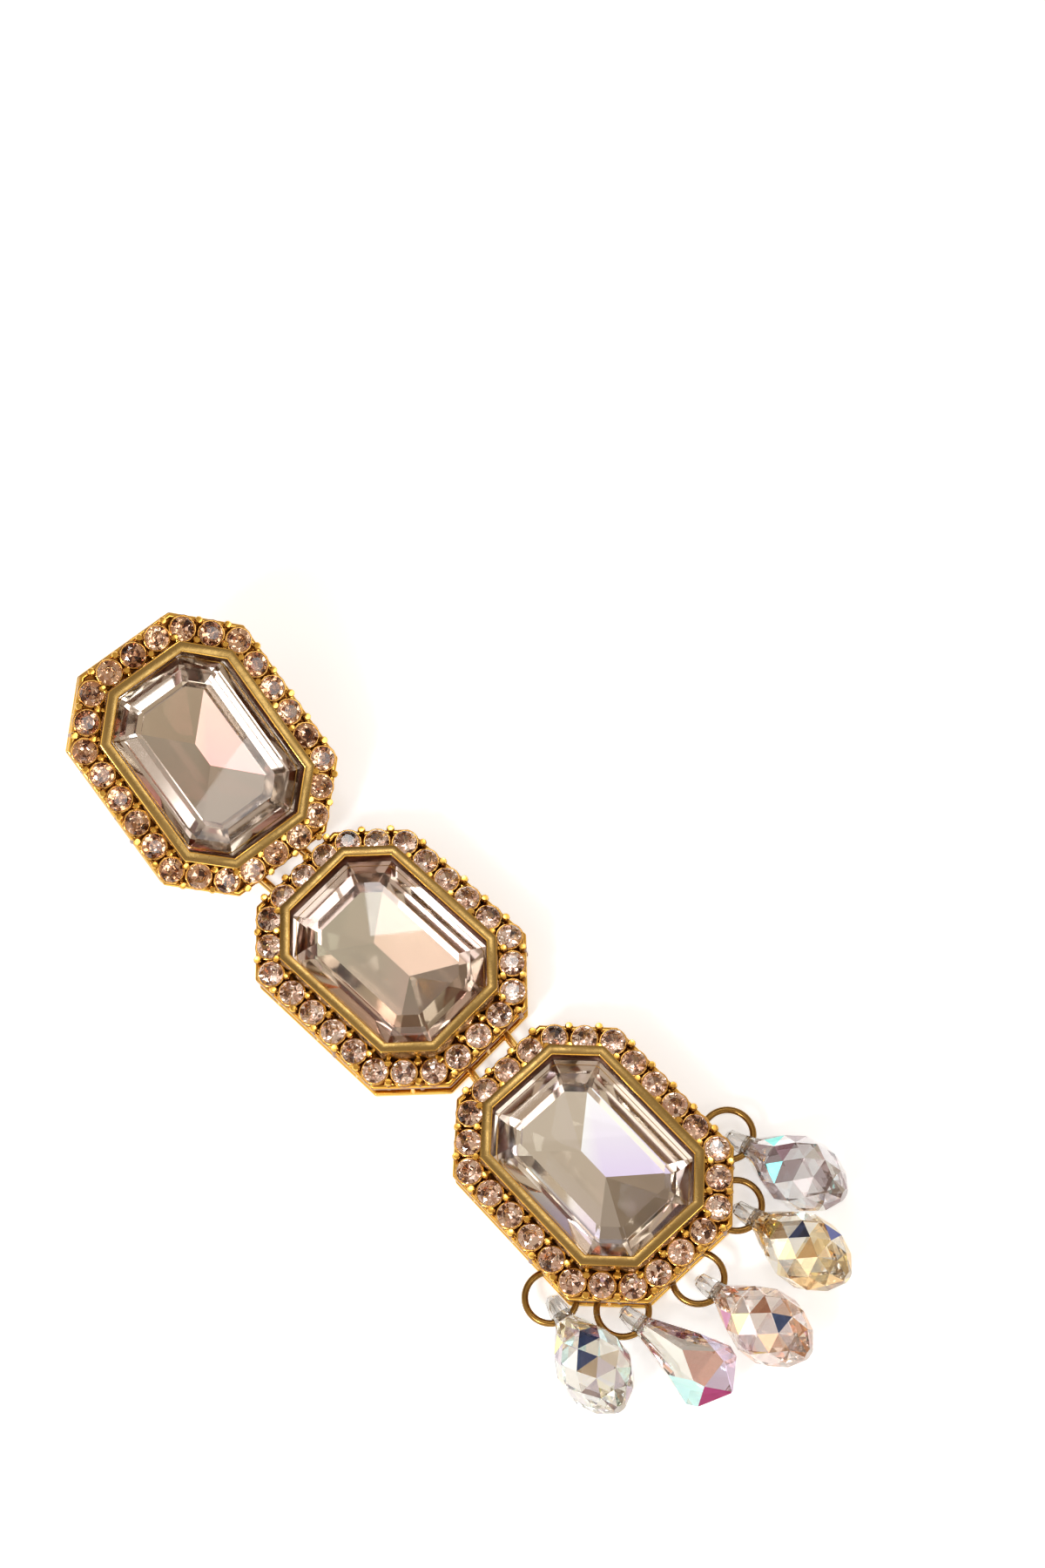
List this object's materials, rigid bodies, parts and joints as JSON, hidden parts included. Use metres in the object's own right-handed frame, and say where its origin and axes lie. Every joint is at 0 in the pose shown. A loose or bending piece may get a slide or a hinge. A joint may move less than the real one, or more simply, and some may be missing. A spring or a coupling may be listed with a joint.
{
  "type": "chandelier earring",
  "caption": "Long chandelier earring lying flat: octagonal step-cut crystals in gold halo settings, joined by wire links, with faceted crystal drops on jump rings.",
  "frame": {"origin": "middle of the flat back of the middle setting, on the surface that the earring lies on", "axes": "+Z up from the surface through the crystal, +Y along the earring towards the top setting that is worn at the ear, +X to the right seen from above with +Y up"},
  "size_m": [0.0311, 0.0883, 0.0162],
  "materials": {
    "gold_metal": "polished",
    "dark_gold_wire": "satin",
    "clear_crystal": "polished",
    "rainbow_crystal": "polished"
  },
  "bodies": {
    "root": {"setting_top": "gold_metal", "crystal_top": "clear_crystal", "setting_middle": "gold_metal", "crystal_middle": "clear_crystal", "setting_bottom": "gold_metal", "crystal_bottom": "clear_crystal", "ear_post": "gold_metal", "link_upper_left": "gold_metal", "link_upper_right": "gold_metal", "link_lower_left": "gold_metal", "link_lower_right": "gold_metal", "jump_ring_1": "dark_gold_wire", "jump_ring_2": "dark_gold_wire", "jump_ring_3": "dark_gold_wire", "jump_ring_4": "dark_gold_wire", "jump_ring_5": "dark_gold_wire", "drop_1": "rainbow_crystal", "drop_2": "rainbow_crystal", "drop_3": "rainbow_crystal", "drop_4": "rainbow_crystal", "drop_5": "rainbow_crystal"}
  },
  "joints": []
}
